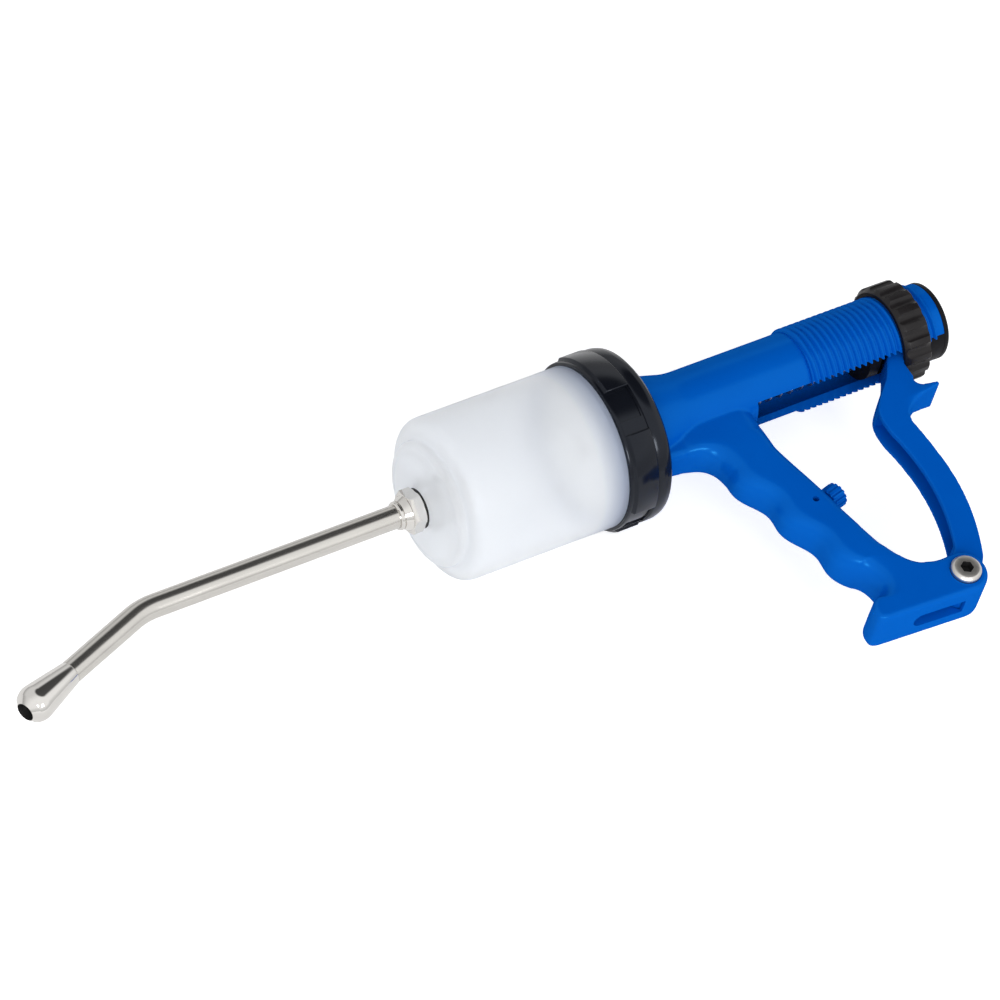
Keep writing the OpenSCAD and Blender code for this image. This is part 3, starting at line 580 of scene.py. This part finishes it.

# Nozzle: a polished ball tip, turned, nickel-plated and pressed into the tube's end.
# It is turned on the straight tube's line and then swung round the bend with it; its bore is painted dark, as
# painted shade.
BALL_R, BALL_BACK, OUTLET_R = 7.8, 20, 3.9
SPIGOT_R, SPIGOT_BORE = 4.18, 2.6
rim = math.acos((OUTLET_R + 0.3) / BALL_R)
mouth = -BALL_BACK - BALL_R * math.sin(rim)
tip_wall = ([(8, SPIGOT_BORE), (8, SPIGOT_R), (0, SPIGOT_R), (0, TUBE_R - 0.1), (-0.15, TUBE_R + 0.05),
             (-0.4, TUBE_R + 0.15)]
            + arc((-BALL_BACK, 0), BALL_R, 82, 180 - math.degrees(rim), 24)
            + [(mouth + 0.1, OUTLET_R + 0.08), (mouth + 0.5, OUTLET_R), (-14, OUTLET_R), (-12, SPIGOT_BORE)])
tip = turned("tip", [(x - BEND_X - TAIL_RUN, r) for x, r in tip_wall + tip_wall[:1]], 96)
bore_faces = [face.index for face in tip.data.polygons if face.center.yz.length < OUTLET_R]
turn(tip, math.degrees(BEND_ANGLE), "Z", bend_centre)
set_down(tip, "gun", "nozzle_tip", smooth=40)
place, shader = look("polished_nickel", {"Metallic": 1})
feed(shader, "Base Color", place.noise(90, 3).mix((0.7, 0.68, 0.65, 1), (0.8, 0.78, 0.75, 1)))
feed(shader, "Roughness", 0.04 + 0.05 * place.noise(500, 3))
polished = shader
paint(shader, tip)
# painted shade: a near-black material for the nozzle's bore and the bolt's socket, standing in for the shade
# inside them
place, shader = look("stained_bore", {"Metallic": 0.6})
feed(shader, "Base Color", place.noise(400, 3).mix((0.012, 0.012, 0.013, 1), (0.05, 0.05, 0.05, 1)))
feed(shader, "Roughness", 0.5 + 0.2 * place.noise(500, 3))
tip.data.materials.append(bpy.data.materials["stained_bore"])
for index in bore_faces:
    tip.data.polygons[index].material_index = 1

# Tube nut: a nickel-plated hexagon with a round collar, drawn up on the nipple to clamp the tube.
# The chamfered hexagon and the turned collar are joined and then bored for the tube and the nipple.
NUT_AF, NUT_TURN = 16.5, 33.5
HEX_FRONT, HEX_BACK = 6.4, 0.8
hexagon = rod(NUT_AF / 2 / math.cos(math.pi / 6), -SEAT_X - HEX_FRONT, -SEAT_X - HEX_BACK, 6)
turn(hexagon, NUT_TURN)
hexagon.name = hexagon.data.name = "tube_nut_hexagon"
chamfer_wall = [(-HEX_FRONT - 0.2, 0), (-HEX_FRONT, NUT_AF / 2 + 0.1), (-HEX_FRONT + 0.8, NUT_AF / 2 + 1.5),
                (-HEX_BACK - 0.7, NUT_AF / 2 + 1.5), (-HEX_BACK, NUT_AF / 2), (-HEX_BACK + 0.3, 0)]
collar_wall = [(-11, 0), (-11, TUBE_R + 0.5), (-10.8, TUBE_R + 0.9), (-10.3, TUBE_R + 1.2),
               (-9.8, TUBE_R + 1.2), (-9.6, TUBE_R + 1), (-9.5, TUBE_R + 0.7), (-9.2, TUBE_R + 0.7),
               (-9.1, TUBE_R + 1.1), (-HEX_FRONT, TUBE_R + 2.5), (-6, TUBE_R + 2.5), (-6, 0)]
combine(hexagon, "INTERSECT", turned("chamfer", [(x - SEAT_X, r) for x, r in chamfer_wall]))
combine(hexagon, "UNION", turned("collar", [(x - SEAT_X, r) for x, r in collar_wall]))
combine(hexagon, "DIFFERENCE",
        rod(TUBE_R + 0.02, -SEAT_X - 12, -SEAT_X), rod(NIPPLE_R + 0.05, -SEAT_X - 6, -SEAT_X))
soften(hexagon, 0.12, 2, 25)
set_down(hexagon, "gun", "tube_nut", smooth=15)
paint(polished, hexagon)

# End plug: a black cap pressed into the barrel's tail, with a key that fills the lever slot there.
# It is turned, and the key is a block trimmed to the barrel's round.
PLUG_X, PLUG_BORE = BARREL_END - 7, 11.8
plug_wall = [(PLUG_X, PLUG_BORE), (PLUG_X, BORE_R - 0.03), (BARREL_END, BORE_R - 0.03),
             (BARREL_END, BARREL_R), (BARREL_END + 1.5, BARREL_R), (BARREL_END + 1.9, BARREL_R - 0.2),
             (BARREL_END + 2.4, BARREL_R - 0.7), (BARREL_END + 2.5, BARREL_R - 1.4),
             (BARREL_END + 2.5, 0), (BARREL_END - 0.5, 0), (BARREL_END - 0.5, PLUG_BORE)]
plug = turned("plug", plug_wall + plug_wall[:1])
key = rod(BARREL_R - 0.1, PLUG_X - 0.5, BARREL_END + 0.5)
key_half = SLOT_W / 2 - 0.1
combine(key, "INTERSECT", block((PLUG_X - 1, -20, -key_half), (BARREL_END + 1, -12, key_half)))
combine(plug, "UNION", key)
set_down(plug, "gun", "end_plug", smooth=35)
place, shader = look("satin_black_nylon", {"Specular IOR Level": 0.08})
feed(shader, "Base Color", place.noise(200, 4).mix((0.005, 0.005, 0.007, 1), (0.011, 0.011, 0.013, 1)))
feed(shader, "Roughness", 0.34 + 0.16 * place.noise(700, 3))
feed(shader, "Normal", place.bump(place.noise(1500, 3), 0.12, 0.0002))
satin_black = shader
paint(shader, plug)

# Pivot bolt: a turned steel socket-head bolt through the ears, on which the lever turns.
# Shank and bevelled head are turned; the hexagon socket is cut into the head and painted dark, as painted
# shade.
SHANK_R, HEAD_R, SOCKET_R = 4, 6.5, 2.9
bolt_wall = [(-half_foot - 3.6, 0), (-half_foot - 3.6, SHANK_R - 0.5), (-half_foot - 3.1, SHANK_R),
             (half_foot - 1, SHANK_R), (half_foot - 1, HEAD_R - 0.2), (half_foot - 0.8, HEAD_R),
             (half_foot + 1.3, HEAD_R), (half_foot + 1.5, HEAD_R - 0.1),
             (half_foot + 2.4, HEAD_R - 1.1), (half_foot + 2.5, HEAD_R - 1.3), (half_foot + 2.5, 0)]
bolt = turned("bolt", bolt_wall, 96)
combine(bolt, "DIFFERENCE", rod(SOCKET_R, half_foot - 1.2, half_foot + 5, 6))
soften(bolt, 0.12, 2, 40)
socket_faces = [face.index for face in bolt.data.polygons
                if face.center.yz.length < SOCKET_R - 0.05
                and half_foot - 1.5 < face.center.x < half_foot + 2.4]
turn(bolt, -90, "Y")
move(bolt, (PIVOT.x, PIVOT.y, 0))
set_down(bolt, "gun", "pivot_bolt", smooth=30)
place, shader = look("turned_steel", {"Metallic": 1})
feed(shader, "Base Color", place.noise(150, 3).mix((0.6, 0.58, 0.55, 1), (0.72, 0.7, 0.67, 1)))
feed(shader, "Roughness", 0.26 + 0.14 * place.noise(700, 3))
paint(shader, bolt)
# painted shade: the socket's faces take the near-black bore material
bolt.data.materials.append(bpy.data.materials["stained_bore"])
for index in socket_faces:
    bolt.data.polygons[index].material_index = 1

# Lever: the blue squeeze lever, a channel open to the front with a thumb spur and a rounded fingertip.
# It is one moulding in the body's blue. Arm and spur are flat slabs, joined and blended by remeshing.
# The channel and the pivot hole are cut through them.
LEVER_W, SPUR_W, LEVER_WALL, LEVER_WEB = 12.4, 16.6, 2, 2.6
LEVER_VOXEL, LEVER_HOLE_R = 0.42, 5.05
TIP = Vector((152, 0))
TIP_R = 4


def lever_back(y):
    """The arm's bowed rear face."""
    return PIVOT.x + 25.3 - (0.0053 if y < -70 else 0.0026) * (y + 70) ** 2


def lever_front(y):
    """The arm's bowed front edges."""
    return PIVOT.x + 14 - (0.0056 if y < -68 else 0.0042) * (y + 68) ** 2


def heights(top, low):
    """Every second millimetre from a top down to a low height."""
    return [top - 2 * i for i in range(int((top - low) / 2) + 1)]


arm_front = [(lever_front(y), y) for y in heights(-52, PIVOT.y + 11.6)]
arm_back = [(lever_back(y), y) for y in heights(-46, PIVOT.y + 3.6)]
lever_outline = (
    [(TIP.x - 3.8, -1), (149.6, -4.6), (141, -14.2), (137.4, -20)]
    + bend((135.4, -22.8), (129, -28.6), (125.4, -32.4), 4)
    + bend((124, -34.2), (121.2, -38.4), (122.2, -48), 6)
    + arm_front + [(PIVOT.x - 2, PIVOT.y + HUB_R - 0.6)]
    + arc(PIVOT, HUB_R, 120, 350, 30) + arm_back[::-1]
    + [(134.6, -42), (138, -34), (145, -30), (146.9, -26.4), (146.9, -18.8), (148.2, -17)]
    + [(151.6, -16.2), (151.6, -11.8)] + arc(TIP, TIP_R, -15, 195, 14))
lever = slab("lever_moulding", lever_outline, -LEVER_W / 2, LEVER_W / 2)
spur_outline = (
    bend((146, -27.5), (146.8, -32.2), (153.9, -33.6), 10) + [(154.1, -34.9)]
    + bend((153.4, -35.2), (137, -35.6), (133.8, -45), 12) + [(128, -44), (134, -36)])
spur = slab("spur", spur_outline, -SPUR_W / 2, SPUR_W / 2)

# the spur narrows to the arm's width in six small steps, which the remeshing smooths
TAPER = (152.5, 151, 149.5, 148, 146.5, 145)
step_width = (0.97 * LEVER_W / SPUR_W) ** (1 / len(TAPER))
bpy.ops.object.mode_set(mode="EDIT")
for station in TAPER:
    mesh = bmesh.from_edit_mesh(spur.data)
    for vertex in mesh.verts:
        vertex.select_set(vertex.co.x < station)
    mesh.select_flush_mode()
    bmesh.update_edit_mesh(spur.data)
    bpy.ops.transform.resize(value=(1, 1, step_width), center_override=(0, 0, 0))
bpy.ops.object.mode_set(mode="OBJECT")
combine(lever, "UNION", spur)
apply_modifier(lever, "REMESH", mode="VOXEL", voxel_size=LEVER_VOXEL)
apply_modifier(lever, "SMOOTH", factor=0.5, iterations=4)
ease(lever, 30, ((137, -39), 5), ((146, -30), 3.5), ((142, -32), 5))
channel_heights = heights(-44, PIVOT.y + 13.6)
channel_outline = (
    bend((131, -42), (129, -37.4), (122, -36.4), 6) + [(114, -36)]
    + [(lever_front(y) - 6, y) for y in channel_heights]
    + [(lever_back(y) - LEVER_WEB, y) for y in reversed(channel_heights)])
channel = slab("channel", channel_outline, LEVER_WALL - LEVER_W / 2, LEVER_W / 2 - LEVER_WALL)
combine(lever, "DIFFERENCE", channel, pin(LEVER_HOLE_R, PIVOT.x, PIVOT.y, -20, 20))
set_down(lever, "squeeze_lever", "lever", smooth=35)
paint(blue, lever)

# Dose nut: a black nut with finger scallops that runs on the barrel's thread and stops the lever.
# It is moulded in nylon. It is turned with rounded rims and a front recess that covers the dose washer,
# and the scallops are cut round it.
NUT_R, NUT_X, NUT_T = 21.8, 148.65, 11.2
WASHER_R, WASHER_T = 19.7, 1.25
SCALLOPS, SCALLOP_R, SCALLOP_OUT = 18, 3.2, 1.9
nut_wall = ([(NUT_X, THREAD_R + 0.05), (NUT_X, WASHER_R), (NUT_X - WASHER_T, WASHER_R),
             (NUT_X - WASHER_T, WASHER_R + 0.3), (NUT_X + 0.3, NUT_R - 0.2), (NUT_X + 0.8, NUT_R)]
            + arc((NUT_X + NUT_T - 0.9, NUT_R - 0.9), 0.9, 90, 0, 4) + [(NUT_X + NUT_T, THREAD_R + 0.05)])
nut = turned("nut", nut_wall + nut_wall[:1], 220)
for i in range(SCALLOPS):
    scallop = rod(SCALLOP_R, NUT_X - 3, NUT_X + NUT_T + 1, 48)
    move(scallop, (0, NUT_R + SCALLOP_OUT, 0))
    turn(scallop, 360 * (i + 0.5) / SCALLOPS)
    combine(nut, "DIFFERENCE", scallop)
soften(nut, 0.35, 2, 28)
set_down(nut, "dose_nut", "dose_nut", smooth=30)
place, shader = look("moulded_black_nylon", {"Specular IOR Level": 0.28})
feed(shader, "Base Color", place.noise(200, 4).mix((0.006, 0.005, 0.006, 1), (0.014, 0.012, 0.013, 1)))
feed(shader, "Roughness", 0.28 + 0.14 * place.noise(500, 3))
feed(shader, "Normal", place.bump(place.noise(1500, 3), 0.1, 0.0002))
paint(shader, nut)

# Stop knob: a small ridged knob, moulded in the body's blue, on the stop screw in the grip's rear.
# It is turned with a bevelled end, grooved and bored for the stud.
KNOB_R, KNOB_LEN, KNOB_GAP = 5.4, 6.5, 0.7
STUD_HOLE_R, STUD_HOLE_END = 2.55, 5.3
GROOVES, GROOVE_R = 14, 0.8
knob_wall = [(KNOB_GAP, STUD_HOLE_R), (KNOB_GAP, KNOB_R - 0.4), (KNOB_GAP + 0.4, KNOB_R),
             (KNOB_LEN + 0.4, KNOB_R), (KNOB_LEN + 0.8, KNOB_R - 0.4), (KNOB_LEN + 0.8, 0),
             (STUD_HOLE_END, 0), (STUD_HOLE_END, STUD_HOLE_R)]
knob = turned("knob", knob_wall + knob_wall[:1], 112)
for i in range(GROOVES):
    groove = rod(GROOVE_R, 0, KNOB_LEN + 2, 16)
    move(groove, (0, KNOB_R - 0.15, 0))
    turn(groove, 360 * i / GROOVES)
    combine(knob, "DIFFERENCE", groove)
turn(knob, math.degrees(math.atan(REAR_RAKE)), "Z")
move(knob, stop_place)
set_down(knob, "stop_knob", "stop_knob", smooth=40)
paint(blue, knob)

# Return spring: a coil of spring steel wire between the rod bush and the crosshead.
# A wire section is wound by a screw about the barrel axis. In the gun it shortens as the piston moves
# forwards.
WIRE_R, COIL_R, COIL_TURNS = 0.8, 8.2, 20
SPRING_FROM, SPRING_TO, STROKE = 26.9, 132.75, 60.85
spring_pitch = (SPRING_TO - SPRING_FROM) / COIL_TURNS
spring = begin("spring", bpy.ops.mesh.primitive_circle_add, vertices=14, radius=WIRE_R,
               location=(SPRING_FROM, COIL_R, 0))
apply_modifier(spring, "SCREW", axis="X", angle=math.tau, screw_offset=spring_pitch, iterations=COIL_TURNS,
               steps=40, render_steps=40)
bpy.ops.object.mode_set(mode="EDIT")
bpy.ops.mesh.select_all(action="SELECT")
bpy.ops.mesh.fill_holes(sides=0)
close_up(spring)
set_down(spring, "gun", "return_spring", smooth=50)
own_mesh(spring)
place, shader = look("spring_steel", {"Metallic": 1})
feed(shader, "Base Color", place.noise(150, 3).mix((0.42, 0.42, 0.43, 1), (0.56, 0.56, 0.57, 1)))
feed(shader, "Roughness", 0.25 + 0.15 * place.noise(600, 2))
paint(shader, spring)

# Inner steel pieces: the piston's rod and screw, the crosshead's pin, the pivot's sleeve and nut,
# the tube's nipple and the stop screw's stud. They are ground steel and keep the shapes of their solids.
place, shader = look("ground_steel", {"Metallic": 1})
feed(shader, "Base Color", place.noise(200, 3).mix((0.5, 0.49, 0.47, 1), (0.62, 0.61, 0.59, 1)))
feed(shader, "Roughness", 0.22 + 0.14 * place.noise(700, 3))
for name in ("tube_nipple", "pivot_sleeve", "pivot_nut", "piston_screw", "piston_rod",
             "crosshead_pin", "stop_stud"):
    paint(shader, nodes[name])

# Rubber pieces: the cylinder's gasket and the seals of the rod, the tube and the piston.
# They are moulded in matt black rubber, squeezed between their neighbours, and keep their solids.
place, shader = look("black_rubber", {"Specular IOR Level": 0.3})
feed(shader, "Base Color", place.noise(300, 3).mix((0.012, 0.012, 0.012, 1), (0.03, 0.03, 0.03, 1)))
feed(shader, "Roughness", 0.6 + 0.2 * place.noise(500, 3))
for name in ("cylinder_gasket", "rod_seal", "tube_seal", "piston_seal"):
    paint(shader, nodes[name])

# Inner mouldings: the rod's bush and the piston's discs are white acetal, and the crosshead and the
# dose washer are black nylon. The stop screw runs in a brass insert, pressed into the grip.
# All of these keep the shapes of their solids.
place, shader = look("white_acetal", {"Specular IOR Level": 0.5})
feed(shader, "Base Color", place.noise(150, 3).mix((0.72, 0.72, 0.7, 1), (0.82, 0.82, 0.8, 1)))
feed(shader, "Roughness", 0.35 + 0.15 * place.noise(400, 3))
for name in ("rod_bush", "piston_front_disc", "piston_back_disc"):
    paint(shader, nodes[name])
for name in ("crosshead", "dose_washer"):
    paint(satin_black, nodes[name])
place, shader = look("brass", {"Metallic": 1})
feed(shader, "Base Color", place.noise(200, 3).mix((0.6, 0.42, 0.16, 1), (0.72, 0.53, 0.24, 1)))
feed(shader, "Roughness", 0.22 + 0.15 * place.noise(500, 3))
paint(shader, nodes["stop_insert"])

# Studio: a floor of white paper in a white room. The paper glows for the camera, so that shadows stay faint.
# The room is dim beyond the gun's top, which gives the metal its dark streaks.
# Two small soft boxes stand beyond the picture's lower edge.
floor = begin("floor", bpy.ops.mesh.primitive_plane_add, size=30)
place, shader = look("floor_paper", {"Specular IOR Level": 0.0, "Emission Strength": 0.55})
paper = place.noise(0.5, 2).mix((0.94, 0.94, 0.94, 1), (0.96, 0.96, 0.96, 1))
feed(shader, "Base Color", paper)
seen = place.node("ShaderNodeLightPath", {}, {}, "Is Camera Ray")
feed(shader, "Emission Color", seen.mix((0, 0, 0, 1), paper))
feed(shader, "Roughness", 0.9 + 0.05 * place.noise(3, 2))
paint(shader, floor)
scene = bpy.context.scene
world = bpy.data.worlds.new("studio")
scene.world = world
world.use_nodes = True
tree = world.node_tree
room = tree.nodes["Background"]
room.inputs["Color"].default_value = (1, 1, 1, 1)
way = Wire(tree, tree.nodes.new("ShaderNodeTexCoord").outputs["Generated"])
seen = way.node("ShaderNodeLightPath", {}, {}, "Is Camera Ray")
DARK_WAY = (0.48, 0.33, 0.81)
near_dark = way.node("ShaderNodeVectorMath", {"operation": "DOT_PRODUCT"}, {0: way, 1: DARK_WAY}, "Value")
top_way = way.node("ShaderNodeSeparateXYZ", {}, {0: way}, 1)
high_way = way.node("ShaderNodeSeparateXYZ", {}, {0: way}, 2)
light = ((1.05 - 0.3 * ramp(top_way, -0.3, 0.5)) * (1 - 0.91 * ramp(near_dark, 0.84, 0.93))
         * (0.7 + 0.3 * ramp(high_way, 0.1, 0.4)))
tree.links.new((light * (1 - seen) + seen).output, room.inputs["Strength"])
BOX_SIZE, BOX_POWER = 0.4, 4.5
for name, spot in (("left box", (-0.75, -1.1, 0.9)), ("right box", (0.1, -1.35, 0.95))):
    lamp = bpy.data.lights.new(name, "AREA")
    lamp.shape, lamp.size, lamp.energy = "SQUARE", BOX_SIZE, BOX_POWER
    holder = bpy.data.objects.new(name, lamp)
    scene.collection.objects.link(holder)
    holder.location = spot
    holder.rotation_euler = (-Vector(spot)).to_track_quat("-Z", "Y").to_euler()

# Camera: a long lens, placed from the slope, lean and roll that the gun has in the photograph.
# The middle of the ring's front edge comes to the pixel that it has there, and at the same scale.
SLOPE, LEAN, ROLL = 20.4, 25.2, 28.8
FOCAL_PX, PX_PER_MM, FRAME_PX, SENSOR = 6000, 2.44, 1000, 36
RING_AT = Vector((582.9, 447.2))
slope, lean, roll = (math.radians(angle) for angle in (SLOPE, LEAN, ROLL))
nozzle_way = Vector((-math.cos(lean) * math.cos(slope), -math.cos(lean) * math.sin(slope), math.sin(lean)))
down = Vector((math.sin(slope), -math.cos(slope), 0))
over = nozzle_way.cross(down)
gun_left = math.cos(roll) * over - math.sin(roll) * down
gun_top = -math.cos(roll) * down - math.sin(roll) * over
right, up, back = (Vector((-nozzle_way[i], gun_top[i], gun_left[i])) for i in range(3))
from_ring = (FRAME_PX / 2 - RING_AT.x) * right + (RING_AT.y - FRAME_PX / 2) * up + FOCAL_PX * back
aim = axis_origin + from_ring / PX_PER_MM * MM
lens = bpy.data.cameras.new("camera")
lens.sensor_width, lens.lens = SENSOR, FOCAL_PX / FRAME_PX * SENSOR
camera = bpy.data.objects.new("camera", lens)
camera.matrix_world = Matrix.Translation(aim) @ Matrix((right, up, back)).transposed().to_4x4()
scene.collection.objects.link(camera)
scene.camera = camera
scene.view_settings.view_transform = "Standard"
